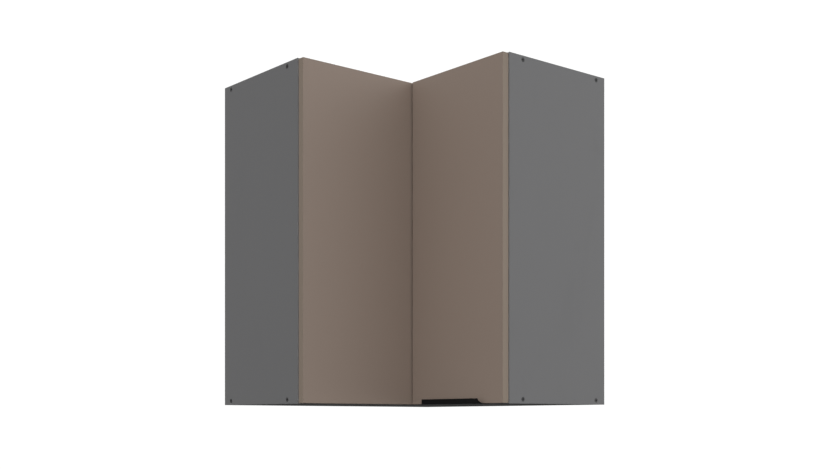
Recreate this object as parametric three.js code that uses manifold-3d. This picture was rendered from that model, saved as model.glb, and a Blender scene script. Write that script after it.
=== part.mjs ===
// Corner wall cabinet: two 600 mm arms at 90 degrees, a pair of folding leaf doors in the inner corner.
// Millimetres, +Z up. Origin: room corner, on the underside of the carcass.
// Arm A runs along -X against the back wall (y = 0), arm B along -Y against the side wall (x = 0).
import * as THREE from "three";
import { mergeVertices } from "three/addons/utils/BufferGeometryUtils.js";
import Module from "manifold-3d";

const wasm = await Module();
wasm.setup();

// ---------------------------------------------------------------- driving dimensions
const ARM = 600; // length of each arm along its wall
const DEPTH = 291; // carcass depth of each arm
const HEIGHT = 716;
const BOARD = 16;
const DOOR_T = 16;
const DOOR_GAP = 1; // door back to carcass front
const DOOR_INSET = 2; // outer door edge inside the end panel face
const DOOR_Z0 = 1;
const DOOR_Z1 = 714;
const FOLD_GAP = 4; // end of the right leaf to the face of the left leaf
const BACK_SET = 16; // rear face of the hardboard, from the wall
const BACK_T = 3;
const GROOVE = 8; // groove depth
const PLAY = 0.3;
const SHELF_Z = [234, 466];
const HINGE_Z = [100, 616];
const CUP_R = 17.5;
const CUP_DEPTH = 11.5;
const CUP_EDGE = 22.5; // cup centre to door edge
const FOLD_CUP_EDGE = 21.5; // the same for the cups of the folding hinges
const ARM_PIN = [-571.6, -287.4]; // pivot of the inner link on the hinge arm
const CUP_PIN = [-573.8, -295.0]; // pivot of the outer link in the cup
const KNUCKLE = [-534.2, -270.9]; // where the two links meet, leaf shut
const FOLD_X = -284; // pin of the folding hinges
const FOLD_Y = -300;
const HANDLE_LEN = 176;
const HANDLE_Y = -454.5; // middle of the pull, along the right leaf
const HANDLE_OUT = 20; // lip in front of the leaf
const HANDLE_LIP = 11;
const SCREW_FRONT = 39; // front confirmat, from the carcass front edge
const SCREW_BACK = 27; // rear confirmat, from the wall
const SCREW_EDGE = 9; // confirmat, from the top or bottom edge of the end panel

const FRONT_A = -DEPTH - DOOR_GAP; // back face of the left leaf (y) and of the right leaf (x)
const FACE_A = FRONT_A - DOOR_T;

// ---------------------------------------------------------------- materials
const mat = (color, roughness, metalness = 0) =>
  new THREE.MeshStandardMaterial({ color, roughness, metalness });
const GREY = mat(0x6e6e70, 0.62);
const TAUPE = mat(0x85786d, 0.55);
const HARDBOARD = mat(0x77777a, 0.75);
const BLACK = mat(0x151516, 0.5, 0.6);
const SCREW = mat(0x1d1d1f, 0.45, 0.7);
const NICKEL = mat(0xb9b9b6, 0.32, 1.0);
const HANGER = mat(0xd8d8d4, 0.5);
const SILICONE = mat(0xd9dcdd, 0.4);

// ---------------------------------------------------------------- solids
function solid(geometry, matrix) {
  const g = geometry.clone();
  if (matrix) g.applyMatrix4(matrix);
  g.deleteAttribute("normal");
  g.deleteAttribute("uv");
  const m = mergeVertices(g, 1e-4);
  return new wasm.Manifold(
    new wasm.Mesh({
      numProp: 3,
      vertProperties: new Float32Array(m.attributes.position.array),
      triVerts: new Uint32Array(m.index.array),
    }),
  );
}

function toGeometry(s) {
  const m = s.getMesh();
  const n = m.numProp;
  const v = new Float32Array(m.numVert * 3);
  for (let i = 0; i < m.numVert; i++)
    v.set(m.vertProperties.subarray(i * n, i * n + 3), i * 3);
  const g = new THREE.BufferGeometry()
    .setAttribute("position", new THREE.BufferAttribute(v, 3))
    .setIndex(new THREE.BufferAttribute(m.triVerts, 1))
    .toNonIndexed();
  g.computeVertexNormals();
  return g;
}

const T = (x, y, z) => new THREE.Matrix4().makeTranslation(x, y, z);

// box from its lowest and highest corners
function box(x0, y0, z0, x1, y1, z1) {
  return solid(
    new THREE.BoxGeometry(x1 - x0, y1 - y0, z1 - z0),
    T((x0 + x1) / 2, (y0 + y1) / 2, (z0 + z1) / 2),
  );
}

// plan outline (x, y) raised from z0 to z1
function slab(points, z0, z1) {
  const shape = new THREE.Shape(points.map(([x, y]) => new THREE.Vector2(x, y)));
  return solid(
    new THREE.ExtrudeGeometry(shape, { depth: z1 - z0, bevelEnabled: false, steps: 1, curveSegments: 10 }),
    T(0, 0, z0),
  );
}

// turned piece: profile [radius, height] pairs, its axis along dir from the point at
function turned(profile, at, dir, segments = 16) {
  const g = new THREE.LatheGeometry(
    profile.map(([r, h]) => new THREE.Vector2(r, h)),
    segments,
  );
  const q = new THREE.Quaternion().setFromUnitVectors(
    new THREE.Vector3(0, 1, 0),
    new THREE.Vector3(...dir).normalize(),
  );
  const m = new THREE.Matrix4().compose(new THREE.Vector3(...at), q, new THREE.Vector3(1, 1, 1));
  return solid(g, m);
}

const rod = (r, h0, h1, at, dir, segments = 16) =>
  turned([[0, h0], [r, h0], [r, h1], [0, h1]], at, dir, segments);

// straight bar between two plan points, half as wide as w
function bar([x0, y0], [x1, y1], w, z0, z1) {
  const l = Math.hypot(x1 - x0, y1 - y0);
  const [nx, ny] = [(-(y1 - y0) / l) * w, ((x1 - x0) / l) * w];
  return slab([[x0 + nx, y0 + ny], [x0 - nx, y0 - ny], [x1 - nx, y1 - ny], [x1 + nx, y1 + ny]], z0, z1);
}

const union = (...list) => list.reduce((a, b) => a.add(b));
const cut = (a, ...list) => list.reduce((s, b) => s.subtract(b), a);

// hexagonal key socket, depth d, opening at the point at and going along dir
const hexSocket = (r, d, at, dir) => rod(r, -0.2, d, at, dir, 6);

const root = new THREE.Group();
function add(group, name, s, material) {
  const mesh = new THREE.Mesh(toGeometry(s), material);
  mesh.name = name;
  group.add(mesh);
  return mesh;
}

const carcass = new THREE.Group();
const doorLeft = new THREE.Group();
const doorRight = new THREE.Group();
const linksInner = new THREE.Group();
const linksOuter = new THREE.Group();
root.add(carcass, doorLeft, doorRight, linksInner, linksOuter);

const X0 = -ARM; // outer face of the left end panel
const X1 = -ARM + BOARD; // its inner face
const Y0 = -ARM;
const Y1 = -ARM + BOARD;

// ---------------------------------------------------------------- confirmat screws
// head at the outer face, shank into the edge of the top or bottom panel
const confirmat = (at, dir) =>
  cut(
    turned(
      [[0, 0.15], [4.6, 0.15], [4.6, 0.9], [3.4, 2.8], [3.4, 12], [2.6, 13], [2.6, 46], [0, 50]],
      at, dir, 18,
    ),
    hexSocket(2.2, 2.6, at, dir),
  );
const confirmatHole = (at, dir) =>
  turned(
    [[0, -1], [4.9, -1], [4.9, 1.2], [3.7, 3.1], [3.7, 12.3], [2.9, 13.3], [2.9, 50.5], [0, 52]],
    at, dir, 18,
  );

const screwsLeft = [];
const screwsRight = [];
for (const [zName, z] of [["lower", SCREW_EDGE], ["upper", HEIGHT - SCREW_EDGE]]) {
  for (const [dName, d] of [["front", DEPTH - SCREW_FRONT], ["rear", SCREW_BACK]]) {
    screwsLeft.push({ name: `confirmat_left_${zName}_${dName}`, at: [X0, -d, z], dir: [1, 0, 0] });
    screwsRight.push({ name: `confirmat_right_${zName}_${dName}`, at: [-d, Y0, z], dir: [0, 1, 0] });
  }
}

// ---------------------------------------------------------------- end panels
const zPins = SHELF_Z.map((z) => z - 4.8);
const pinDepths = [58, 232];

// shelf pin: shank in the panel, collar, nose under the shelf
const shelfPin = (at, dir) =>
  turned([[0, -8], [2.4, -8], [2.4, 0.02], [4.6, 0.02], [4.6, 1.5], [4.5, 1.5], [4.5, 8.6], [3.9, 9.4], [0, 9.4]], at, dir, 14);
const pinHole = (at, dir) => rod(2.55, -8.6, 1, at, dir, 14);

const pins = [];
zPins.forEach((z, i) => {
  const level = i ? "upper" : "lower";
  pins.push({ name: `shelf_pin_${level}_left_front`, at: [X1, -pinDepths[1], z], dir: [1, 0, 0], host: "left" });
  pins.push({ name: `shelf_pin_${level}_left_rear`, at: [X1, -pinDepths[0], z], dir: [1, 0, 0], host: "left" });
  pins.push({ name: `shelf_pin_${level}_right_front`, at: [-pinDepths[1], Y1, z], dir: [0, 1, 0], host: "right" });
  pins.push({ name: `shelf_pin_${level}_right_rear`, at: [-pinDepths[0], Y1, z], dir: [0, 1, 0], host: "right" });
});

// grooved for the backs, bored for the screws and the shelf pins
let sideLeft = box(X0, -DEPTH, 0, X1, 0, HEIGHT);
let sideRight = box(-DEPTH, Y0, 0, 0, Y1, HEIGHT);
sideLeft = cut(
  sideLeft,
  box(X1 - GROOVE, -BACK_SET - BACK_T - PLAY, 7.5, X1 + 1, -BACK_SET, HEIGHT - 7.5),
  ...screwsLeft.map((s) => confirmatHole(s.at, s.dir)),
  ...pins.filter((p) => p.host === "left").map((p) => pinHole(p.at, p.dir)),
);
sideRight = cut(
  sideRight,
  box(-BACK_SET - BACK_T - PLAY, Y1 - GROOVE, 7.5, -BACK_SET, Y1 + 1, HEIGHT - 7.5),
  ...screwsRight.map((s) => confirmatHole(s.at, s.dir)),
  ...pins.filter((p) => p.host === "right").map((p) => pinHole(p.at, p.dir)),
);
add(carcass, "side_panel_left", sideLeft, GREY);
add(carcass, "side_panel_right", sideRight, GREY);
for (const s of [...screwsLeft, ...screwsRight]) add(carcass, s.name, confirmat(s.at, s.dir), SCREW);
for (const p of pins) add(carcass, p.name, shelfPin(p.at, p.dir), NICKEL);

// ---------------------------------------------------------------- top and bottom panels
const L_OUTLINE = [
  [X1, 0], [X1, -DEPTH], [-DEPTH, -DEPTH], [-DEPTH, Y1], [0, Y1], [0, 0],
];
function endBoard(z0, grooveUp) {
  const g0 = grooveUp ? z0 + BOARD - GROOVE : z0 - 1;
  const g1 = grooveUp ? z0 + BOARD + 1 : z0 + GROOVE;
  return cut(
    slab(L_OUTLINE, z0, z0 + BOARD),
    box(X1 - 1, -BACK_SET - BACK_T - PLAY, g0, -BACK_SET, -BACK_SET, g1),
    box(-BACK_SET - BACK_T - PLAY, Y1 - 1, g0, -BACK_SET, -BACK_SET, g1),
    ...[...screwsLeft, ...screwsRight]
      .filter((s) => Math.abs(s.at[2] - (z0 + BOARD / 2)) < 2)
      .map((s) => confirmatHole(s.at, s.dir)),
  );
}
add(carcass, "bottom_panel", endBoard(0, true), GREY);
add(carcass, "top_panel", endBoard(HEIGHT - BOARD, false), GREY);

// ---------------------------------------------------------------- corner stiles and backs
const STILE_W = 100;
add(carcass, "corner_stile_back",
  box(-STILE_W - BOARD, -BOARD, BOARD, -PLAY, 0, HEIGHT - BOARD), GREY);
add(carcass, "corner_stile_side",
  box(-BOARD, -STILE_W - BOARD, BOARD, 0, -BOARD - PLAY, HEIGHT - BOARD), GREY);

const HANG_H = 62; // height kept for a hanger, below the top panel
const backZ0 = BOARD - GROOVE + 0.5;
const backZ1 = HEIGHT - BOARD + GROOVE - 0.5;
// window for the hook of each wall hanger at the outer top corner
const backA = cut(
  box(X1 - GROOVE + 0.5, -BACK_SET - BACK_T, backZ0, -BACK_SET - BACK_T - PLAY, -BACK_SET - PLAY / 2, backZ1),
  box(X1 - GROOVE - 1, -BACK_SET - BACK_T - 2, HEIGHT - BOARD - HANG_H - 4, X1 + 30, -BACK_SET + 2, HEIGHT),
);
const backB = cut(
  box(-BACK_SET - BACK_T, Y1 - GROOVE + 0.5, backZ0, -BACK_SET - PLAY / 2, -BACK_SET - BACK_T - PLAY, backZ1),
  box(-BACK_SET - BACK_T - 2, Y1 - GROOVE - 1, HEIGHT - BOARD - HANG_H - 4, -BACK_SET + 2, Y1 + 30, HEIGHT),
);
add(carcass, "back_panel_left_arm", backA, HARDBOARD);
add(carcass, "back_panel_right_arm", backB, HARDBOARD);

// ---------------------------------------------------------------- shelves
const SB = 21; // rear edge of a shelf, from the wall
const SF = 270; // front edge
for (const [i, z] of SHELF_Z.entries()) {
  const s = slab(
    [
      [X1 + 0.5, -SB], [X1 + 0.5, -SF], [-SF, -SF], [-SF, Y1 + 0.5], [-SB, Y1 + 0.5], [-SB, -SB],
    ],
    z, z + BOARD,
  );
  add(carcass, i ? "shelf_upper" : "shelf_lower", s, GREY);
}
// angle clip under the rear corner of each shelf, on the back
zPins.forEach((z, i) => {
  add(
    carcass,
    `shelf_corner_clip_${i ? "upper" : "lower"}`,
    box(-78, -BACK_SET - BACK_T - 12.3, z + 1.7, -62, -BACK_SET - BACK_T - PLAY, z + 3.8)
      .add(box(-78, -BACK_SET - BACK_T - 2.3, z - 14, -62, -BACK_SET - BACK_T - PLAY, z + 3.8)),
    NICKEL,
  );
});

// ---------------------------------------------------------------- wall hangers
// housing screwed to the end panel, hook that takes the wall plate
const hz1 = HEIGHT - BOARD - 3;
const hz0 = hz1 - HANG_H + 6;
const housingA = cut(
  box(X1 + 0.2, -64, hz0, X1 + 15, -12, hz1),
  box(X1 + 4, -66, hz0 + 20, X1 + 11, -10, hz0 + 42),
  rod(3, -3, 3, [X1 + 15, -44, hz0 + 9], [1, 0, 0], 14),
  rod(3, -3, 3, [X1 + 15, -28, hz0 + 9], [1, 0, 0], 14),
);
const hookA = union(
  box(X1 + 5, -52, hz0 + 26, X1 + 10, -4, hz0 + 34),
  box(X1 + 5, -7, hz0 + 18, X1 + 10, -4, hz0 + 34),
);
const housingB = cut(
  box(-64, Y1 + 0.2, hz0, -12, Y1 + 15, hz1),
  box(-66, Y1 + 4, hz0 + 20, -10, Y1 + 11, hz0 + 42),
  rod(3, -3, 3, [-44, Y1 + 15, hz0 + 9], [0, 1, 0], 14),
  rod(3, -3, 3, [-28, Y1 + 15, hz0 + 9], [0, 1, 0], 14),
);
const hookB = union(
  box(-52, Y1 + 5, hz0 + 26, -4, Y1 + 10, hz0 + 34),
  box(-7, Y1 + 5, hz0 + 18, -4, Y1 + 10, hz0 + 34),
);
add(carcass, "wall_hanger_housing_left", housingA, HANGER);
add(carcass, "wall_hanger_hook_left", hookA, NICKEL);
add(carcass, "wall_hanger_housing_right", housingB, HANGER);
add(carcass, "wall_hanger_hook_right", hookB, NICKEL);

// ---------------------------------------------------------------- cabinet hinges
const cupX = X0 + DOOR_INSET + CUP_EDGE;
const PLATE_Y = -DEPTH + 38;
for (const [i, z] of HINGE_Z.entries()) {
  const n = i ? "upper" : "lower";
  // cross-shaped mounting plate on the end panel
  add(
    carcass, `hinge_plate_${n}`,
    union(
      box(X1 + 0.05, PLATE_Y - 9, z - 24, X1 + 3, PLATE_Y + 9, z + 24),
      box(X1 + 0.05, PLATE_Y - 24, z - 7, X1 + 8, PLATE_Y + 18, z + 7),
    ),
    NICKEL,
  );
  // arm: channel over the plate, its two cheeks carry the first pin in front
  const cheekPlan = [
    [X1 + 4, -214], [X1 + 4, -286.2], [X1 + 9.4, -290.6], [ARM_PIN[0] + 1.6, -290.6],
    [ARM_PIN[0] + 3.4, -288.8], [ARM_PIN[0] + 3.4, -284.6], [X1 + 10.4, -276], [X1 + 10.4, -214],
  ];
  add(
    carcass, `hinge_arm_${n}`,
    cut(
      union(
        box(X1 + 8.4, -283, z - 9, X1 + 10.4, -214, z + 9),
        slab(cheekPlan, z - 9, z - 7),
        slab(cheekPlan, z + 7, z + 9),
      ),
      rod(2.05, -12, 12, [...ARM_PIN, z], [0, 0, 1], 14),
      rod(2.3, -3, 3, [X1 + 9.4, -262, z], [1, 0, 0], 14),
      rod(2.3, -3, 3, [X1 + 9.4, -232, z], [1, 0, 0], 14),
    ),
    NICKEL,
  );
  const pin = (r, head, half) => [
    [0, -half - 0.8], [head, -half - 0.8], [head, -half], [r, -half], [r, half], [head, half], [head, half + 0.8], [0, half + 0.8],
  ];
  add(carcass, `hinge_arm_pin_${n}`, turned(pin(1.8, 2.6, 9.3), [...ARM_PIN, z], [0, 0, 1], 14), NICKEL);
  // cup let into the back of the left leaf
  const at = [cupX, FRONT_A, z];
  const cup = cut(
    union(
      rod(CUP_R - 0.2, -CUP_DEPTH, 0.2, at, [0, 1, 0], 32),
      box(cupX - 5, FRONT_A + 0.05, z - 31, cupX + 15, FRONT_A + 1.3, z - 12),
      box(cupX - 5, FRONT_A + 0.05, z + 12, cupX + 15, FRONT_A + 1.3, z + 31),
    ),
    rod(CUP_R - 1.4, -CUP_DEPTH + 1, 3, at, [0, 1, 0], 32),
    rod(2.0, -19, 19, [...CUP_PIN, z], [0, 0, 1], 14),
  );
  add(doorLeft, `hinge_cup_${n}`, cup, NICKEL);
  add(doorLeft, `hinge_cup_pin_${n}`, rod(1.8, -16.6, 16.6, [...CUP_PIN, z], [0, 0, 1], 14), NICKEL);
  // inner link: one bar from the arm pin to the knuckle
  add(
    linksInner, `hinge_link_inner_${n}`,
    cut(
      union(
        bar(ARM_PIN, KNUCKLE, 2.8, z - 3.5, z + 3.5),
        rod(3.1, -3.5, 3.5, [...ARM_PIN, z], [0, 0, 1], 18),
        rod(3.6, -3.5, 3.5, [...KNUCKLE, z], [0, 0, 1], 18),
      ),
      rod(2.05, -12, 12, [...ARM_PIN, z], [0, 0, 1], 14),
    ),
    NICKEL,
  );
  // outer link: two cheeks on a barrel round the cup pin, riveted at the knuckle
  const cheek = (z0, z1, rivet0, rivet1) =>
    union(
      bar(CUP_PIN, KNUCKLE, 2.4, z + z0, z + z1),
      rod(3.6, z0, z1, [...KNUCKLE, z], [0, 0, 1], 18),
      rod(2.1, rivet0, rivet1, [...KNUCKLE, z], [0, 0, 1], 14),
    );
  add(
    linksOuter, `hinge_link_outer_${n}`,
    cut(
      union(cheek(3.9, 6.4, 6, 7.2), cheek(-6.4, -3.9, -7.2, -6), rod(3.1, -6.4, 6.4, [...CUP_PIN, z], [0, 0, 1], 18)),
      rod(2.05, -12, 12, [...CUP_PIN, z], [0, 0, 1], 14),
    ),
    NICKEL,
  );
}

// ---------------------------------------------------------------- leaves
const cupBore = (at, dir) => rod(CUP_R + 0.1, -CUP_DEPTH - 0.6, 2, at, dir, 32);
const FOLD_CUP_Y = FACE_A - FOLD_GAP - FOLD_CUP_EDGE;
const leafLeft = cut(
  box(X0 + DOOR_INSET, FACE_A, DOOR_Z0, FRONT_A, FRONT_A, DOOR_Z1),
  ...HINGE_Z.map((z) => cupBore([cupX, FRONT_A, z], [0, 1, 0])),
);
const leafRight = cut(
  box(FACE_A, Y0 + DOOR_INSET, DOOR_Z0, FRONT_A, FACE_A - FOLD_GAP, DOOR_Z1),
  ...HINGE_Z.map((z) => cupBore([FRONT_A, FOLD_CUP_Y, z], [1, 0, 0])),
  rod(1.3, -9, 1, [FRONT_A, HANDLE_Y - 80, 14], [1, 0, 0], 10),
  rod(1.3, -9, 1, [FRONT_A, HANDLE_Y + 80, 14], [1, 0, 0], 10),
);
add(doorLeft, "door_leaf_left", leafLeft, TAUPE);
add(doorRight, "door_leaf_right", leafRight, TAUPE);

// ---------------------------------------------------------------- folding hinges between the leaves
for (const [i, z] of HINGE_Z.entries()) {
  const n = i ? "upper" : "lower";
  const B = FRONT_A + 0.1;
  // bracket on the back of the left leaf, carrying the pin in two ears
  const bracketPlan = [
    [-334, B], [-290.5, B], [-289.6, FOLD_Y - 1], [-288.4, FOLD_Y - 4.6], [FOLD_X, FOLD_Y - 5.2],
    [FOLD_X + 4.4, FOLD_Y - 3], [FOLD_X + 5.2, FOLD_Y + 1], [FOLD_X + 5, B + 6.5], [-292, B + 7.4], [-334, B + 7.4],
  ];
  const ear = (z0, z1) => slab(bracketPlan, z0, z1);
  const bracket = cut(
    union(
      box(-334, B, z - 24, -316, B + 2.6, z + 24),
      ear(z - 10, z - 6.2),
      ear(z + 6.2, z + 10),
      box(-334, B, z - 10, -297, B + 7.4, z + 10),
    ),
    rod(2.35, -14, 14, [FOLD_X, FOLD_Y, z], [0, 0, 1], 14),
  );
  add(doorLeft, `fold_bracket_${n}`, bracket, NICKEL);
  add(
    doorLeft, `fold_pin_${n}`,
    turned([[0, -11.2], [3.2, -11.2], [3.2, -10.2], [2, -10.2], [2, 10.2], [3.2, 10.2], [3.2, 11.2], [0, 11.2]],
      [FOLD_X, FOLD_Y, z], [0, 0, 1], 14),
    NICKEL,
  );
  // cup in the right leaf, with a lug round the pin between the ears
  const at = [FRONT_A, FOLD_CUP_Y, z];
  const lugPlan = [
    [FRONT_A + 0.1, FOLD_CUP_Y - 8], [-284.2, FOLD_CUP_Y - 8], [-280.4, FOLD_CUP_Y + 8],
    [FOLD_X + 5, FOLD_Y - 3], [FOLD_X + 5, FOLD_Y + 2.2], [FOLD_X + 2, FOLD_Y + 4.8], [FOLD_X - 2, FOLD_Y + 4.8],
    [FOLD_X - 4.8, FOLD_Y + 1.6], [FOLD_X - 4.8, FOLD_Y - 4], [FRONT_A + 2.6, FOLD_Y - 9], [FRONT_A + 0.1, FOLD_Y - 14],
  ];
  const cup = cut(
    union(
      rod(CUP_R - 0.2, -CUP_DEPTH, 0.3, at, [1, 0, 0], 32),
      box(FRONT_A + 0.05, FOLD_CUP_Y - 15, z - 31, FRONT_A + 1.3, FOLD_CUP_Y + 5, z + 31),
      slab(lugPlan, z - 5.8, z + 5.8),
    ),
    rod(2.35, -14, 14, [FOLD_X, FOLD_Y, z], [0, 0, 1], 14),
  );
  add(doorRight, `fold_cup_${n}`, cup, NICKEL);
}

// ---------------------------------------------------------------- pull under the right leaf
const hx = FACE_A - HANDLE_OUT;
const pull = new THREE.Shape();
pull.moveTo(hx, 0.4);
pull.lineTo(hx + 0.6, 0);
pull.lineTo(FRONT_A + 0.8, 0);
pull.lineTo(FRONT_A + 0.8, 22);
pull.lineTo(FRONT_A + 0.1, 22);
pull.lineTo(FRONT_A + 0.1, 0.85);
pull.lineTo(FACE_A - 1.2, 0.85);
pull.bezierCurveTo(FACE_A - 5.5, 1.35, FACE_A - 10.5, 3.1, FACE_A - 14.2, 5.5);
pull.bezierCurveTo(FACE_A - 16.4, 7.0, FACE_A - 18.0, 8.6, FACE_A - 18.6, HANDLE_LIP - 0.3);
pull.lineTo(FACE_A - 18.9, HANDLE_LIP);
pull.lineTo(hx + 0.5, HANDLE_LIP);
pull.lineTo(hx, HANDLE_LIP - 0.5);
pull.closePath();
// section (x, z) swept along y
const sweep = new THREE.Matrix4().makeBasis(
  new THREE.Vector3(1, 0, 0),
  new THREE.Vector3(0, 0, 1),
  new THREE.Vector3(0, -1, 0),
);
const pullGeometry = new THREE.ExtrudeGeometry(pull, { depth: HANDLE_LEN, bevelEnabled: false, curveSegments: 7 });
pullGeometry.applyMatrix4(sweep).translate(0, HANDLE_Y + HANDLE_LEN / 2, 0);
const screwHoles = [-80, 80].map((d) => rod(1.9, -3, 3, [FRONT_A + 1, HANDLE_Y + d, 14], [1, 0, 0], 12));
add(doorRight, "handle_profile", cut(solid(pullGeometry), ...screwHoles), BLACK);
for (const [i, d] of [-80, 80].entries())
  add(
    doorRight, `handle_screw_${i ? "inner" : "outer"}`,
    turned([[0, -8.5], [1.1, -8], [1.1, 0.12], [1.7, 0.3], [1.7, 0.75], [0, 0.85]], [FRONT_A, HANDLE_Y + d, 14], [1, 0, 0], 12),
    SCREW,
  );

// ---------------------------------------------------------------- stop pads on the right leaf
for (const [n, z] of [["lower", 9], ["upper", HEIGHT - 9]])
  add(
    doorRight, `door_bumper_${n}`,
    turned([[0, 0.05], [4, 0.05], [4, 0.55], [3.2, 0.85], [0, 0.85]], [FRONT_A, Y0 + 10, z], [1, 0, 0], 16),
    SILICONE,
  );

export default root;
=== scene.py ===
import bpy, bmesh, math
from mathutils import Vector, Matrix


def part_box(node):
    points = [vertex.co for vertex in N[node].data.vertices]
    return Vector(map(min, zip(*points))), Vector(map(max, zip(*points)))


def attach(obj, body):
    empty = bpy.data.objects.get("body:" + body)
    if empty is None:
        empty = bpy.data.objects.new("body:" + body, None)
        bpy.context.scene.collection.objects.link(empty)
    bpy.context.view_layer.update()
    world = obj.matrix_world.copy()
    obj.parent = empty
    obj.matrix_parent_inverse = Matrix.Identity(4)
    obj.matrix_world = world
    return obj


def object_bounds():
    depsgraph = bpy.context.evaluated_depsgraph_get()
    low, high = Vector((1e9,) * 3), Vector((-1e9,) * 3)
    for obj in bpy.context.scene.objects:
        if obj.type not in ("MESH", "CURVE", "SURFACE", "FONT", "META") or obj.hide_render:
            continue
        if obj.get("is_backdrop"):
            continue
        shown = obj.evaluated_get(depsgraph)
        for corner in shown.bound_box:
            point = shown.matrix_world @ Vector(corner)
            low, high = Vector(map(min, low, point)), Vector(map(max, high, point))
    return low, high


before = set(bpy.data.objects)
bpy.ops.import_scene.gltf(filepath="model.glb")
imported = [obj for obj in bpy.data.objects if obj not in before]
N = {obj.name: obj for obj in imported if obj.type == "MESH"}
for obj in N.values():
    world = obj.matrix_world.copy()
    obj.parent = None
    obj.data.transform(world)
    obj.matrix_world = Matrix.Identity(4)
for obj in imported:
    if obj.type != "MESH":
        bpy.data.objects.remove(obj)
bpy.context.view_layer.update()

MM = 0.001
scene = bpy.context.scene

# ------------------------------------------------------------------ camera
cam_data = bpy.data.cameras.new("camera")
cam = bpy.data.objects.new("camera", cam_data)
scene.collection.objects.link(cam)
cam.location = (-1.9694, -2.3050, -0.0345)
cam.rotation_euler = (math.radians(90), 0, math.radians(-39.815))
cam_data.sensor_width = 36.0
cam_data.sensor_fit = "HORIZONTAL"
cam_data.lens = 51.12
cam_data.shift_y = 185.90 / 825
cam_data.clip_start = 0.05
cam_data.clip_end = 120
scene.camera = cam

# ------------------------------------------------------------------ colour management and world
scene.view_settings.view_transform = "Standard"
scene.view_settings.look = "None"
scene.view_settings.exposure = 0.0
scene.view_settings.gamma = 1.0

# Broad soft lights, each (direction it comes from, width exponent, strength, kept above the horizon)
LIGHTS = [
    ((0, -1, 0), 1.5, 0.347, True),
    ((-1, 0, 0), 1.5, 0.839, True),
    ((1, 0, 0), 1.5, 0.366, True),
    ((0, 1, 0), 1.5, 0.20, True),
    ((0, 0, 1), 3.0, 0.218, False),
    ((1, -1, 0), 4.0, 1.562, True),
    ((-0.35, -1, 0.15), 12.0, 0.109, True),
    ((-1, -1, 1.2), 4.0, 1.270, True),
    ((0, 0, -1), 1.0, 0.150, False),
]
DOME = 0.096

world = bpy.data.worlds.new("studio")
scene.world = world
world.use_nodes = True
wt = world.node_tree
wt.nodes.clear()


def wmath(op, a, b=None, c=None):
    n = wt.nodes.new("ShaderNodeMath")
    n.operation = op
    for i, v in enumerate((a, b, c)):
        if v is None:
            continue
        if isinstance(v, (int, float)):
            n.inputs[i].default_value = v
        else:
            wt.links.new(v, n.inputs[i])
    return n.outputs[0]


tc = wt.nodes.new("ShaderNodeTexCoord")
sep = wt.nodes.new("ShaderNodeSeparateXYZ")
wt.links.new(tc.outputs["Generated"], sep.inputs[0])
rise = wt.nodes.new("ShaderNodeMapRange")
rise.interpolation_type = "SMOOTHSTEP"
rise.inputs["From Min"].default_value = -0.42
rise.inputs["From Max"].default_value = 0.22
wt.links.new(sep.outputs["Z"], rise.inputs["Value"])
total = wmath("MULTIPLY", rise.outputs[0], DOME)
for d, power, strength, above in LIGHTS:
    v = Vector(d).normalized()
    dot = wmath("MULTIPLY", sep.outputs["X"], v.x)
    dot = wmath("MULTIPLY_ADD", sep.outputs["Y"], v.y, dot)
    dot = wmath("MULTIPLY_ADD", sep.outputs["Z"], v.z, dot)
    lobe = wmath("POWER", wmath("MAXIMUM", dot, 0.0), power)
    if above:
        lobe = wmath("MULTIPLY", lobe, rise.outputs[0])
    total = wmath("MULTIPLY_ADD", lobe, strength, total)
light_bg = wt.nodes.new("ShaderNodeBackground")
light_bg.inputs["Color"].default_value = (1.0, 1.0, 1.0, 1)
wt.links.new(total, light_bg.inputs["Strength"])
seen_bg = wt.nodes.new("ShaderNodeBackground")
seen_bg.inputs["Color"].default_value = (1, 1, 1, 1)
seen_bg.inputs["Strength"].default_value = 1.05
lp = wt.nodes.new("ShaderNodeLightPath")
mix = wt.nodes.new("ShaderNodeMixShader")
wt.links.new(lp.outputs["Is Camera Ray"], mix.inputs[0])
wt.links.new(light_bg.outputs[0], mix.inputs[1])
wt.links.new(seen_bg.outputs[0], mix.inputs[2])
out = wt.nodes.new("ShaderNodeOutputWorld")
wt.links.new(mix.outputs[0], out.inputs["Surface"])


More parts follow.
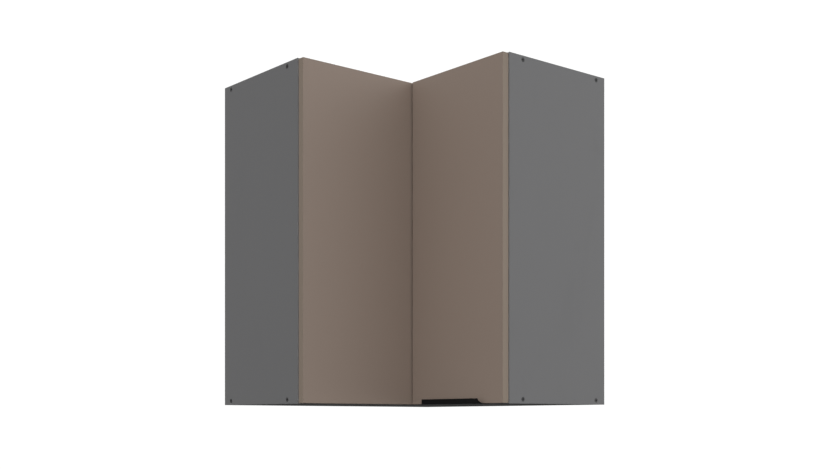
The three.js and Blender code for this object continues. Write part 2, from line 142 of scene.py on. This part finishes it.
# ------------------------------------------------------------------ material helpers
class Mat:
    """A small node builder round one Principled shader."""

    def __init__(self, name):
        self.m = bpy.data.materials.new(name)
        self.m.use_nodes = True
        self.t = self.m.node_tree
        self.b = self.t.nodes["Principled BSDF"]
        self.coord = self.t.nodes.new("ShaderNodeTexCoord")
        self._xyz = None
        self._n = None

    def node(self, kind, **kw):
        n = self.t.nodes.new(kind)
        for k, v in kw.items():
            setattr(n, k, v)
        return n

    def link(self, a, b):
        self.t.links.new(a, b)

    def mapped(self, scale=(1, 1, 1), rot=(0, 0, 0)):
        mp = self.node("ShaderNodeMapping")
        mp.inputs["Scale"].default_value = scale
        mp.inputs["Rotation"].default_value = rot
        self.link(self.coord.outputs["Object"], mp.inputs["Vector"])
        return mp.outputs["Vector"]

    def axis(self, i):
        """Object coordinate along axis i, in metres."""
        if self._xyz is None:
            self._xyz = self.node("ShaderNodeSeparateXYZ")
            self.link(self.coord.outputs["Object"], self._xyz.inputs[0])
        return self._xyz.outputs[i]

    def facing(self, i):
        """Component i of the surface normal."""
        if self._n is None:
            self._n = self.node("ShaderNodeSeparateXYZ")
            self.link(self.coord.outputs["Normal"], self._n.inputs[0])
        return self._n.outputs[i]

    def noise(self, vec, scale, detail=3.0, rough=0.55, distort=0.0):
        n = self.node("ShaderNodeTexNoise")
        n.inputs["Scale"].default_value = scale
        n.inputs["Detail"].default_value = detail
        n.inputs["Roughness"].default_value = rough
        n.inputs["Distortion"].default_value = distort
        self.link(vec, n.inputs["Vector"])
        return n.outputs["Fac"]

    def voronoi(self, vec, scale, feature="F1", rand=1.0):
        n = self.node("ShaderNodeTexVoronoi", feature=feature)
        n.inputs["Scale"].default_value = scale
        n.inputs["Randomness"].default_value = rand
        self.link(vec, n.inputs["Vector"])
        return n

    def ramp(self, fac, stops, mode="LINEAR"):
        r = self.node("ShaderNodeValToRGB")
        r.color_ramp.interpolation = mode
        el = r.color_ramp.elements
        el[0].position, el[0].color = stops[0][0], (*stops[0][1], 1)
        el[1].position, el[1].color = stops[-1][0], (*stops[-1][1], 1)
        for p, c in stops[1:-1]:
            e = el.new(p)
            e.color = (*c, 1)
        self.link(fac, r.inputs["Fac"])
        return r.outputs["Color"]

    def range(self, fac, a, b, c, d, smooth=False):
        r = self.node("ShaderNodeMapRange")
        if smooth:
            r.interpolation_type = "SMOOTHSTEP"
        r.inputs["From Min"].default_value = a
        r.inputs["From Max"].default_value = b
        r.inputs["To Min"].default_value = c
        r.inputs["To Max"].default_value = d
        self.link(fac, r.inputs["Value"])
        return r.outputs[0]

    def math(self, op, a, b=None, c=None):
        n = self.node("ShaderNodeMath", operation=op)
        for i, v in enumerate((a, b, c)):
            if v is None:
                continue
            if isinstance(v, (int, float)):
                n.inputs[i].default_value = v
            else:
                self.link(v, n.inputs[i])
        return n.outputs[0]

    def mix(self, fac, a, b, blend="MIX"):
        n = self.node("ShaderNodeMix", data_type="RGBA", blend_type=blend)
        if isinstance(fac, (int, float)):
            n.inputs[0].default_value = fac
        else:
            self.link(fac, n.inputs[0])
        for i, v in ((6, a), (7, b)):
            if isinstance(v, tuple):
                n.inputs[i].default_value = (*v, 1)
            else:
                self.link(v, n.inputs[i])
        return n.outputs[2]

    def bump(self, height, strength, distance, normal=None):
        n = self.node("ShaderNodeBump")
        n.inputs["Strength"].default_value = strength
        n.inputs["Distance"].default_value = distance
        self.link(height, n.inputs["Height"])
        if normal is not None:
            self.link(normal, n.inputs["Normal"])
        return n.outputs["Normal"]

    def edge(self, radius, lo=0.72, hi=0.99):
        """1 on sharp outer edges: the shading normal of a rounded edge leaves the face normal."""
        bev = self.node("ShaderNodeBevel", samples=4)
        bev.inputs["Radius"].default_value = radius
        geo = self.node("ShaderNodeNewGeometry")
        dot = self.node("ShaderNodeVectorMath", operation="DOT_PRODUCT")
        self.link(bev.outputs["Normal"], dot.inputs[0])
        self.link(geo.outputs["True Normal"], dot.inputs[1])
        return self.range(dot.outputs["Value"], lo, hi, 1.0, 0.0, True)

    def faces(self, axis, sign=0, threshold=0.9):
        """1 where the surface looks along axis: both ways, or only towards sign."""
        v = self.facing(axis)
        v = self.math("ABSOLUTE", v) if sign == 0 else self.math("MULTIPLY", v, float(sign))
        return self.math("GREATER_THAN", v, threshold)

    def within(self, axis, lo, hi):
        """1 where the object coordinate along axis lies in lo..hi."""
        a = self.math("GREATER_THAN", self.axis(axis), lo)
        return self.math("MULTIPLY", a, self.math("LESS_THAN", self.axis(axis), hi))

    def line(self, axis, at, width, soft):
        """1 on the plane axis = at, fading over soft beyond half the width."""
        d = self.math("ABSOLUTE", self.math("SUBTRACT", self.axis(axis), at))
        return self.range(d, width / 2, width / 2 + soft, 1.0, 0.0, True)

    def most(self, values):
        r = None
        for v in values:
            r = v if r is None else self.math("MAXIMUM", r, v)
        return r

    def base(self, c):
        self.link(c, self.b.inputs["Base Color"])

    def rough(self, r):
        self.link(r, self.b.inputs["Roughness"])

    def normal(self, n):
        self.link(n, self.b.inputs["Normal"])


def mul(c, k):
    return tuple(x * k for x in c)


GREY = (0.1705, 0.1705, 0.1733)
TAUPE = (0.2929, 0.2290, 0.1888)
RIM = (0.2657, 0.2124, 0.1670)


# ------------------------------------------------------------------ boards
def chipboard(m, thick, mid, half, run):
    """Colour and height of a sawn chipboard edge. Flakes lie flat in the board, coarse in the core,
    dust-fine under both faces. thick: axis through the board, mid and half its middle and half
    thickness, run: axis along the edge."""
    scale = [1.0, 1.0, 1.0]
    scale[thick] = 2.6
    scale[run] = 0.8
    vec = m.mapped(tuple(scale))
    warp = m.node("ShaderNodeVectorMath", operation="MULTIPLY_ADD")
    wn = m.node("ShaderNodeTexNoise")
    wn.inputs["Scale"].default_value = 260.0
    m.link(vec, wn.inputs["Vector"])
    m.link(wn.outputs["Color"], warp.inputs[0])
    warp.inputs[1].default_value = (0.0022, 0.0022, 0.0022)
    m.link(vec, warp.inputs[2])
    # ragged borders: a second, finer warp on top of the first
    tear = m.node("ShaderNodeVectorMath", operation="MULTIPLY_ADD")
    tn = m.node("ShaderNodeTexNoise")
    tn.inputs["Scale"].default_value = 1300.0
    tn.inputs["Detail"].default_value = 3.0
    m.link(vec, tn.inputs["Vector"])
    m.link(tn.outputs["Color"], tear.inputs[0])
    tear.inputs[1].default_value = (0.0016, 0.0016, 0.0016)
    m.link(warp.outputs[0], tear.inputs[2])
    core = m.voronoi(tear.outputs[0], 310.0)
    chips = m.voronoi(tear.outputs[0], 640.0)
    fine = m.voronoi(warp.outputs[0], 1150.0)
    tones = [(0.08, (0.19, 0.115, 0.062)), (0.3, (0.36, 0.245, 0.145)), (0.55, (0.50, 0.365, 0.235)),
             (0.8, (0.62, 0.485, 0.335)), (0.95, (0.70, 0.58, 0.43))]
    pick = m.node("ShaderNodeSeparateColor")
    m.link(core.outputs["Color"], pick.inputs[0])
    pick3 = m.node("ShaderNodeSeparateColor")
    m.link(chips.outputs["Color"], pick3.inputs[0])
    small = m.range(m.noise(vec, 210.0, 3.0), 0.46, 0.54, 0.0, 1.0, True)
    flakes = m.mix(small, m.ramp(pick.outputs[0], tones), m.ramp(pick3.outputs[0], tones))
    # grain of the wood inside each flake
    stretch = [1.0, 1.0, 1.0]
    stretch[thick] = 9.0
    grain = m.noise(m.mapped(tuple(stretch)), 420.0, 4.0, 0.65)
    flakes = m.mix(1.0, flakes, m.math("MULTIPLY_ADD", grain, 0.7, 0.65), "MULTIPLY")
    pick2 = m.node("ShaderNodeSeparateColor")
    m.link(fine.outputs["Color"], pick2.inputs[0])
    dust = m.ramp(pick2.outputs[0], [(0.1, (0.33, 0.225, 0.14)), (0.5, (0.46, 0.335, 0.215)), (0.9, (0.56, 0.43, 0.295))])
    depth = m.math("DIVIDE", m.math("ABSOLUTE", m.math("SUBTRACT", m.axis(thick), mid)), half)
    layer = m.range(m.math("ADD", depth, m.math("MULTIPLY_ADD", m.noise(vec, 300.0, 2.0), 0.3, -0.15)), 0.55, 0.75, 0.0, 1.0, True)
    col = m.mix(layer, flakes, dust)
    # pores between the flakes of the core
    dist = m.voronoi(tear.outputs[0], 310.0, feature="DISTANCE_TO_EDGE")
    seam = m.range(dist.outputs["Distance"], 0.0, 0.06, 1.0, 0.0, True)
    pore = m.math("MULTIPLY", m.math("SUBTRACT", 1.0, layer), seam)
    pore = m.math("MULTIPLY", pore, m.range(m.noise(vec, 160.0, 2.0), 0.42, 0.62, 0.1, 0.75))
    col = m.mix(pore, col, (0.10, 0.062, 0.036))
    height = m.math("SUBTRACT", m.math("MULTIPLY", pick.outputs[1], 0.5), pore)
    return col, height


def board_material(name, color, lo, hi, thick, banded=(), raw=None, rough0=0.52, rough1=0.64, rim=None,
                   band=0.0007, wear=1.3, front=None):
    """Melamine-faced board with glued edge bands.

    lo, hi: its corners. thick: axis through it. banded: (axis, plane, limits) of each banded edge, with
    limits {axis: (lo, hi)} for an inner front edge that doesn't run the whole way. raw: axes whose
    +side edges were sawn and left bare (they stand against a wall). rim: tint of the bands.
    front: (axis, tint) of the front band, painted lighter than the decor paper: painted light on the strip in the
    shaded gap behind the door leaves."""
    m = Mat(name)
    vec = m.mapped()
    # pearl of the pressed paper, 0.3 to 1 mm, on a broad and very faint cloud
    fine = m.noise(vec, 1500.0, 3.0, 0.6)
    mid_n = m.noise(vec, 260.0, 2.0, 0.5)
    broad = m.noise(vec, 5.0, 2.0, 0.5)
    k = m.math("MULTIPLY_ADD", fine, 0.10, 0.95)
    k = m.math("MULTIPLY", k, m.math("MULTIPLY_ADD", mid_n, 0.05, 0.975))
    k = m.math("MULTIPLY", k, m.math("MULTIPLY_ADD", broad, 0.03, 0.985))
    flat = m.faces(thick)
    edge_face = m.math("SUBTRACT", 1.0, flat)
    tint = m.mix(edge_face, color, rim if rim else mul(color, 1.0))
    # painted light: the front band is lightened to brighten the shaded gap strip beside the door leaves
    if front:
        tint = m.mix(m.faces(front[0], -1), tint, front[1])
    col = m.mix(1.0, tint, k, "MULTIPLY")
    height = m.math("ADD", m.math("MULTIPLY", fine, 0.6), m.math("MULTIPLY", mid_n, 0.4))
    r = m.range(mid_n, 0.3, 0.7, rough0, rough1)

    # glue line where each band meets the face
    joints = []
    for axis, plane, limits in banded:
        inward = 1.0 if limits or plane < (lo[axis] + hi[axis]) / 2 else -1.0
        one = m.line(axis, plane + inward * band, 0.00010, 0.00012)
        for ax, (a, b) in limits.items():
            one = m.math("MULTIPLY", one, m.within(ax, a, b))
        joints.append(one)
    if joints:
        groove = m.math("MULTIPLY", m.most(joints), flat)
        groove = m.math("MULTIPLY", groove, m.range(m.noise(vec, 45.0, 3.0), 0.3, 0.65, 0.45, 1.0))
        col = m.mix(m.math("MULTIPLY", groove, 0.42), col, mul(color, 0.35))
        height = m.math("SUBTRACT", height, m.math("MULTIPLY", groove, 1.5))

    # handled and knocked edges show a little lighter and smoother
    e = m.edge(0.0011)
    worn = m.math("MULTIPLY", e, m.range(m.noise(vec, 120.0, 4.0), 0.38, 0.68, 0.06, 0.5))
    col = m.mix(worn, col, mul(color, wear))
    r = m.math("SUBTRACT", r, m.math("MULTIPLY", worn, 0.1))
    # a few dull handling marks, only to be seen against the light
    marks = m.range(m.noise(m.mapped((1, 1, 0.5)), 14.0, 4.0, 0.6, 0.8), 0.55, 0.75, 0.0, 0.05, True)
    r = m.math("ADD", r, marks)

    if raw:
        half = (hi[thick] - lo[thick]) / 2
        run = next(i for i in (2, 0, 1) if i != thick and i not in raw) if len(raw) == 1 else 0
        rc, rh = chipboard(m, thick, (lo[thick] + hi[thick]) / 2, half, run)
        bare = m.most([m.faces(a, 1) for a in raw])
        # the decor paper stays as a dark hairline along both faces, with small break-outs
        depth = m.math("DIVIDE", m.math("ABSOLUTE", m.math("SUBTRACT", m.axis(thick), (lo[thick] + hi[thick]) / 2)), half)
        chip = m.math("MULTIPLY_ADD", m.noise(vec, 330.0, 4.0, 0.7), 0.05, 0.955)
        paper = m.math("GREATER_THAN", depth, chip)
        bare = m.math("MULTIPLY", bare, m.math("SUBTRACT", 1.0, paper))
        col = m.mix(bare, col, rc)
        height = m.math("ADD", height, m.math("MULTIPLY", m.math("MULTIPLY", rh, bare), 4.0))
        r = m.math("MAXIMUM", r, m.math("MULTIPLY", bare, 0.92))
    m.base(col)
    m.rough(r)
    m.normal(m.bump(height, 0.22, 0.00025))
    m.b.inputs["Specular IOR Level"].default_value = 0.32
    return m.m


def hardboard_material(name, thick):
    """Thin fibreboard: grey lacquer inside, raw brown with the press screen's mesh on the rear."""
    m = Mat(name)
    vec = m.mapped()
    fibre = m.noise(vec, 900.0, 6.0, 0.7, 0.4)
    felt = m.noise(vec, 90.0, 5.0, 0.65, 0.6)
    cloud = m.noise(vec, 4.0, 3.0)
    brown = m.ramp(
        m.math("ADD", m.math("MULTIPLY", felt, 0.45), m.math("ADD", m.math("MULTIPLY", fibre, 0.4), m.math("MULTIPLY", cloud, 0.15))),
        [(0.3, (0.19, 0.118, 0.066)), (0.5, (0.285, 0.185, 0.108)), (0.7, (0.385, 0.262, 0.16))])
    lac = m.mix(1.0, (0.172, 0.172, 0.1735), m.math("MULTIPLY_ADD", fibre, 0.12, 0.94), "MULTIPLY")
    rear = m.math("GREATER_THAN", m.facing(thick), 0.5)
    # woven press screen, 1.6 mm pitch
    along = 0 if thick == 1 else 1
    k = 2 * math.pi / 0.0016
    sx = m.math("SINE", m.math("MULTIPLY", m.axis(along), k))
    sz = m.math("SINE", m.math("MULTIPLY", m.axis(2), k))
    weave = m.math("MULTIPLY", m.math("ADD", m.math("MULTIPLY", sx, sz), 1.0), 0.5)
    weave = m.math("MULTIPLY", weave, rear)
    col = m.mix(rear, lac, m.mix(m.math("MULTIPLY", weave, 0.28), brown, (0.125, 0.075, 0.04)))
    m.base(col)
    m.rough(m.math("MULTIPLY_ADD", rear, 0.3, m.range(fibre, 0.3, 0.7, 0.5, 0.6)))
    h = m.math("ADD", fibre, m.math("MULTIPLY", felt, 0.5))
    h = m.math("SUBTRACT", h, m.math("MULTIPLY", weave, 1.6))
    m.normal(m.bump(h, 0.3, 0.0003))
    m.b.inputs["Specular IOR Level"].default_value = 0.3
    return m.m


# ------------------------------------------------------------------ metals and plastics
def metal(name, color, rough0, rough1, axis=None, wear=None, metallic=1.0, streak=0.1, spec=0.5, stain=0.0,
          bump_h=0.12):
    """Plated or anodised metal, brushed along axis when given."""
    m = Mat(name)
    if axis is not None:
        s = [1.0 if i == axis else 60.0 for i in range(3)]
        line = m.noise(m.mapped(tuple(s)), 28.0, 3.0, 0.6)
    else:
        line = m.noise(m.mapped(), 650.0, 3.0, 0.6)
    cloud = m.noise(m.mapped(), 90.0, 3.0, 0.6)
    k = m.math("MULTIPLY_ADD", line, streak, 1.0 - streak / 2)
    col = m.mix(1.0, color, k, "MULTIPLY")
    if stain:
        spots = m.range(m.noise(m.mapped(), 210.0, 5.0, 0.65), 0.52, 0.72, 0.0, stain, True)
        col = m.mix(spots, col, mul(color, 0.55))
    if wear is not None:
        e = m.edge(0.0005)
        amount_ = m.math("MULTIPLY", e, m.range(m.noise(m.mapped(), 240.0, 4.0), 0.4, 0.65, 0.0, 0.8))
        col = m.mix(amount_, col, wear)
    m.base(col)
    r = m.math("MULTIPLY_ADD", cloud, rough1 - rough0, rough0)
    m.rough(m.math("ADD", r, m.math("MULTIPLY_ADD", line, 0.08, -0.04)))
    m.normal(m.bump(line, bump_h, 0.0001))
    m.b.inputs["Metallic"].default_value = metallic
    m.b.inputs["Specular IOR Level"].default_value = spec
    return m.m


nickel = metal("nickel_plate", (0.56, 0.55, 0.52), 0.22, 0.36, wear=(0.72, 0.71, 0.69), stain=0.3)
zinc = metal("zinc_screw", (0.60, 0.60, 0.59), 0.24, 0.38, wear=(0.76, 0.76, 0.75), stain=0.35)
black_ano = metal("black_anodised", (0.0050, 0.0050, 0.0054), 0.42, 0.54, axis=1, metallic=0.0, streak=0.25,
                  wear=(0.026, 0.026, 0.027), spec=0.14)
black_screw = metal("blackened_steel", (0.060, 0.060, 0.061), 0.42, 0.56, metallic=0.2, streak=0.2,
                    wear=(0.11, 0.11, 0.11), spec=0.35)


def plastic(name, color, rough0, rough1, transmission=0.0):
    m = Mat(name)
    grain = m.noise(m.mapped(), 900.0, 2.0, 0.5)
    cloud = m.noise(m.mapped(), 60.0, 3.0, 0.5)
    col = m.mix(1.0, color, m.math("MULTIPLY_ADD", cloud, 0.08, 0.96), "MULTIPLY")
    e = m.edge(0.0006)
    col = m.mix(m.math("MULTIPLY", e, m.range(m.noise(m.mapped(), 180.0, 3.0), 0.4, 0.7, 0.0, 0.35)), col, mul(color, 1.15))
    m.base(col)
    m.rough(m.range(grain, 0.3, 0.7, rough0, rough1))
    m.normal(m.bump(grain, 0.2, 0.00015))
    m.b.inputs["Transmission Weight"].default_value = transmission
    return m.m


hanger_white = plastic("hanger_plastic", (0.62, 0.62, 0.60), 0.42, 0.55)
silicone = plastic("silicone_pad", (0.72, 0.74, 0.75), 0.25, 0.4, 0.55)


def dress(o, material):
    o.data.materials.clear()
    o.data.materials.append(material)


def welding(name, sharp):
    """Joins the loose triangles of a solid into one skin, smooth but for edges above sharp degrees."""
    g = bpy.data.node_groups.new(name, "GeometryNodeTree")
    g.interface.new_socket("Geometry", in_out="INPUT", socket_type="NodeSocketGeometry")
    g.interface.new_socket("Geometry", in_out="OUTPUT", socket_type="NodeSocketGeometry")
    gi, go = g.nodes.new("NodeGroupInput"), g.nodes.new("NodeGroupOutput")
    merge = g.nodes.new("GeometryNodeMergeByDistance")
    merge.inputs["Distance"].default_value = 4e-6
    smooth = g.nodes.new("GeometryNodeSetShadeSmooth")
    smooth.inputs["Shade Smooth"].default_value = True
    g.links.new(gi.outputs[0], merge.inputs["Geometry"])
    g.links.new(merge.outputs["Geometry"], smooth.inputs["Geometry"])
    last = smooth
    if sharp:
        corner = g.nodes.new("GeometryNodeInputMeshEdgeAngle")
        over = g.nodes.new("FunctionNodeCompare")
        over.data_type = "FLOAT"
        over.operation = "GREATER_THAN"
        over.inputs[1].default_value = math.radians(sharp)
        g.links.new(corner.outputs[0], over.inputs[0])
        last = g.nodes.new("GeometryNodeSetShadeSmooth")
        last.domain = "EDGE"
        last.inputs["Shade Smooth"].default_value = False
        g.links.new(smooth.outputs["Geometry"], last.inputs["Geometry"])
        g.links.new(over.outputs["Result"], last.inputs["Selection"])
    g.links.new(last.outputs["Geometry"], go.inputs[0])
    return g


SKIN = welding("skin", None)
CRISP = welding("crisp_skin", 32)


def rounded(o, width, segments=2, angle=50):
    """Welded skin with its hard edges rounded over."""
    o.modifiers.new("skin", "NODES").node_group = SKIN
    d = o.modifiers.new("flats", "DECIMATE")
    d.decimate_type = "DISSOLVE"
    d.angle_limit = math.radians(1)
    b = o.modifiers.new("round", "BEVEL")
    b.width = width
    b.segments = segments
    b.limit_method = "ANGLE"
    b.angle_limit = math.radians(angle)
    b.use_clamp_overlap = False
    w = o.modifiers.new("shade", "WEIGHTED_NORMAL")
    w.mode = "FACE_AREA"
    w.weight = 100
    w.thresh = 0.01


def crisp(o):
    """Welded skin of a turned or plain piece: round surfaces shade round, corners stay sharp."""
    o.modifiers.new("skin", "NODES").node_group = CRISP


# ------------------------------------------------------------------ carried-over pieces
W = 0.716
D = 0.291
for n, o in N.items():
    lo, hi = (list(v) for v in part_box(n))
    if n == "side_panel_left":
        # front bands painted 1.4 and 1.5 times lighter: painted light on the shaded gap strips beside the leaves
        mat = board_material("grey_end_left", GREY, lo, hi, 0,
                             [(1, -D, {}), (2, W, {}), (2, 0.0, {})], raw=(1,), front=(1, mul(GREY, 1.4)))
    elif n == "side_panel_right":
        mat = board_material("grey_end_right", GREY, lo, hi, 1,
                             [(0, -D, {}), (2, W, {}), (2, 0.0, {})], raw=(0,), front=(0, mul(GREY, 1.5)))
    elif n in ("top_panel", "bottom_panel"):
        mat = board_material("grey_" + n, GREY, lo, hi, 2,
                             [(1, -D, {0: (-1.0, -D)}), (0, -D, {1: (-1.0, -D)})],
                             raw=(0, 1))
    elif n in ("shelf_lower", "shelf_upper"):
        f = -0.27
        mat = board_material("grey_" + n, GREY, lo, hi, 2,
                             [(1, f, {0: (-1.0, f)}), (0, f, {1: (-1.0, f)})],
                             raw=(0, 1))
    elif n == "corner_stile_back":
        mat = board_material("grey_stile_back", GREY, lo, hi, 1, raw=(0,))
    elif n == "corner_stile_side":
        mat = board_material("grey_stile_side", GREY, lo, hi, 0, raw=(1,))
    elif n == "door_leaf_left":
        mat = board_material("taupe_leaf_left", TAUPE, lo, hi, 1,
                             [(0, lo[0], {}), (0, hi[0], {}), (2, lo[2], {}), (2, hi[2], {})],
                             rough0=0.5, rough1=0.6, rim=RIM,
                             band=0.0010, wear=1.2)
    elif n == "door_leaf_right":
        mat = board_material("taupe_leaf_right", TAUPE, lo, hi, 0,
                             [(1, lo[1], {}), (1, hi[1], {}), (2, lo[2], {}), (2, hi[2], {})],
                             rough0=0.5, rough1=0.6, rim=RIM,
                             band=0.0010, wear=1.2)
    elif n == "back_panel_left_arm":
        mat = hardboard_material("hardboard_back", 1)
    elif n == "back_panel_right_arm":
        mat = hardboard_material("hardboard_side", 0)
    elif n == "handle_profile":
        mat = black_ano
    elif n.startswith(("confirmat", "handle_screw")):
        mat = black_screw
    elif n.startswith("wall_hanger_housing"):
        mat = hanger_white
    elif n.startswith("door_bumper"):
        mat = silicone
    else:
        mat = nickel
    dress(o, mat)
    if n.startswith("door_leaf"):
        rounded(o, 0.0004, 3)
    elif n.startswith(("side_panel", "top_panel", "bottom_panel", "shelf_lower", "shelf_upper", "corner_stile")):
        rounded(o, 0.0002, 2)
    elif n.startswith(("hinge_plate", "hinge_arm_lower", "hinge_arm_upper", "fold_bracket", "wall_hanger_hook",
                       "shelf_corner_clip")):
        rounded(o, 0.0003, 2)
    elif n.startswith("wall_hanger_housing"):
        rounded(o, 0.0005, 2)
    elif n == "handle_profile":
        rounded(o, 0.00015, 2)
    else:
        crisp(o)


# ------------------------------------------------------------------ fastener heads and fine hardware
def frame_of(at, direction):
    """Matrix whose local +Z is direction, at the point at."""
    z = Vector(direction).normalized()
    x = Vector((0, 0, 1)).cross(z)
    if x.length < 1e-4:
        x = Vector((1, 0, 0))
    x.normalize()
    y = z.cross(x)
    m = Matrix((x, y, z)).transposed().to_4x4()
    m.translation = Vector(at)
    return m


def add_screw(bm, at, direction, r, h, turn=0.35, recess=0.0011, seg=28):
    """Domed head with a modelled cross recess, its underside on the point at."""
    m = frame_of(at, direction) @ Matrix.Rotation(turn, 4, "Z")
    rings = []
    for rr, zz in ((r * 0.985, 0.0), (r, h * 0.18), (r * 0.985, h * 0.38), (r * 0.92, h * 0.66), (r * 0.78, h * 0.88), (r * 0.66, h)):
        rings.append([bm.verts.new(m @ Vector((rr * math.cos(2 * math.pi * i / seg), rr * math.sin(2 * math.pi * i / seg), zz)))
                      for i in range(seg)])
    for a, b in zip(rings, rings[1:]):
        for i in range(seg):
            f = bm.faces.new((a[i], a[(i + 1) % seg], b[(i + 1) % seg], b[i]))
            f.smooth = True
    bm.faces.new(list(reversed(rings[0])))
    # cross outline on the crown
    a, b = r * 0.5, r * 0.12
    pts = [(a, -b), (a, b), (b, b), (b, a), (-b, a), (-b, b), (-a, b), (-a, -b), (-b, -b), (-b, -a), (b, -a), (b, -b)]
    cross = [bm.verts.new(m @ Vector((x, y, h))) for x, y in pts]
    edges = [bm.edges.get((rings[-1][i], rings[-1][(i + 1) % seg])) for i in range(seg)]
    edges += [bm.edges.new((cross[i], cross[(i + 1) % 12])) for i in range(12)]
    bmesh.ops.triangle_fill(bm, edges=edges, use_beauty=True)
    low = [bm.verts.new(m @ Vector((x * 0.72, y * 0.72, h - recess))) for x, y in pts]
    for i in range(12):
        j = (i + 1) % 12
        bm.faces.new((cross[i], cross[j], low[j], low[i]))
    bm.faces.new(low)


def add_disc(bm, at, direction, r, h, hole=0.0, seg=28):
    """Plain washer or flange."""
    m = frame_of(at, direction)
    outer = [(r * 0.97, 0.0), (r, h * 0.25), (r, h * 0.7), (r * 0.93, h)]
    inner = [(hole * 1.08, h), (hole, h * 0.8), (hole, 0.0)] if hole else []
    rings = []
    for rr, zz in outer + inner:
        rings.append([bm.verts.new(m @ Vector((rr * math.cos(2 * math.pi * i / seg), rr * math.sin(2 * math.pi * i / seg), zz)))
                      for i in range(seg)])
    loop = rings + ([rings[0]] if hole else [])
    for a, b in zip(loop, loop[1:]):
        for i in range(seg):
            f = bm.faces.new((a[i], a[(i + 1) % seg], b[(i + 1) % seg], b[i]))
            f.smooth = True
    if not hole:
        bm.faces.new(list(reversed(rings[0])))
        bm.faces.new(rings[-1])


def piece(name, bm, material, body):
    bmesh.ops.recalc_face_normals(bm, faces=bm.faces)
    me = bpy.data.meshes.new(name)
    bm.to_mesh(me)
    bm.free()
    me.set_sharp_from_angle(angle=math.radians(40))
    o = bpy.data.objects.new(name, me)
    scene.collection.objects.link(o)
    me.materials.append(material)
    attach(o, body)
    return o


mm = lambda *v: tuple(c * MM for c in v)
X1, Y1 = -584.0, -584.0
FRONT = -292.0
for level, z in (("lower", 100.0), ("upper", 616.0)):
    # mounting plate: two screws in its wings
    bm = bmesh.new()
    for dz, t in ((-17, 0.3), (17, 1.1)):
        add_screw(bm, mm(X1 + 3.0, -253.0, z + dz), (1, 0, 0), 3.7 * MM, 1.7 * MM, t)
    piece("hinge_plate_screws_" + level, bm, zinc, "carcass")
    # arm: depth and side adjustment screws
    bm = bmesh.new()
    for y, t in ((-262.0, 0.7), (-232.0, 0.15)):
        add_disc(bm, mm(X1 + 10.4, y, z), (1, 0, 0), 4.3 * MM, 0.5 * MM)
        add_screw(bm, mm(X1 + 10.9, y, z), (1, 0, 0), 3.5 * MM, 1.6 * MM, t)
    piece("hinge_arm_screws_" + level, bm, zinc, "carcass")
    # cup flange screws in the left leaf
    bm = bmesh.new()
    for dz, t in ((-23, 0.5), (23, 1.3)):
        add_screw(bm, mm(-570.5, FRONT + 1.3, z + dz), (0, 1, 0), 3.4 * MM, 1.5 * MM, t)
    piece("hinge_cup_screws_" + level, bm, zinc, "door_left")
    # folding hinge: bracket screws in the left leaf, cup flange screws in the right leaf
    bm = bmesh.new()
    for dz, t in ((-17, 0.9), (17, 0.2)):
        add_screw(bm, mm(-325.0, FRONT + 2.7, z + dz), (0, 1, 0), 3.4 * MM, 1.5 * MM, t)
    piece("fold_bracket_screws_" + level, bm, zinc, "door_left")
    bm = bmesh.new()
    for dz, t in ((-23, 0.05), (23, 0.8)):
        add_screw(bm, mm(FRONT + 1.3, -338.5, z + dz), (1, 0, 0), 3.4 * MM, 1.5 * MM, t)
    piece("fold_cup_screws_" + level, bm, zinc, "door_right")

# wall hangers: height and depth adjusters, seen in the two bores of each housing
hz = 641.0 + 9.0
bm = bmesh.new()
for y, t in ((-44.0, 0.4), (-28.0, 1.0)):
    add_screw(bm, mm(X1 + 12.0, y, hz), (1, 0, 0), 2.7 * MM, 1.6 * MM, t)
piece("hanger_adjusters_left", bm, zinc, "carcass")
bm = bmesh.new()
for x, t in ((-44.0, 0.6), (-28.0, 1.2)):
    add_screw(bm, mm(x, Y1 + 12.0, hz), (0, 1, 0), 2.7 * MM, 1.6 * MM, t)
piece("hanger_adjusters_right", bm, zinc, "carcass")
for level, z in (("lower", 234.0 - 4.8), ("upper", 466.0 - 4.8)):
    bm = bmesh.new()
    add_screw(bm, mm(-70.0, -21.3, z - 6.5), (0, -1, 0), 3.1 * MM, 1.3 * MM, 0.5)
    add_screw(bm, mm(-70.0, -26.2, z + 1.7), (0, 0, -1), 3.1 * MM, 1.3 * MM, 0.9)
    piece("corner_clip_screws_" + level, bm, zinc, "carcass")

# ------------------------------------------------------------------ floor
bm = bmesh.new()
bmesh.ops.create_circle(bm, cap_ends=True, radius=26.0, segments=96)
me = bpy.data.meshes.new("floor")
bm.to_mesh(me)
bm.free()
floor = bpy.data.objects.new("floor", me)
scene.collection.objects.link(floor)
floor.location = (-0.3, -0.3, -1.40)
fm = Mat("pale_floor")
fn = fm.noise(fm.mapped(), 3.0, 4.0)
fm.base(fm.mix(1.0, (0.86, 0.86, 0.855), fm.math("MULTIPLY_ADD", fn, 0.03, 0.985), "MULTIPLY"))
fm.rough(fm.range(fn, 0.3, 0.7, 0.7, 0.85))
# runs out into the white sweep behind
far = fm.node("ShaderNodeVectorMath", operation="LENGTH")
fm.link(fm.coord.outputs["Object"], far.inputs[0])
fade = fm.range(far.outputs["Value"], 1.2, 9.0, 0.0, 1.0, True)
glow = fm.node("ShaderNodeEmission")
glow.inputs["Color"].default_value = (1, 1, 1, 1)
glow.inputs["Strength"].default_value = 1.05
sweep = fm.node("ShaderNodeMixShader")
fm.link(fade, sweep.inputs[0])
fm.link(fm.b.outputs[0], sweep.inputs[1])
fm.link(glow.outputs[0], sweep.inputs[2])
fm.link(sweep.outputs[0], fm.t.nodes["Material Output"].inputs["Surface"])
dress(floor, fm.m)
floor.visible_diffuse = False
floor.visible_glossy = False
floor.visible_shadow = False
floor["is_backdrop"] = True

lo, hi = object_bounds()
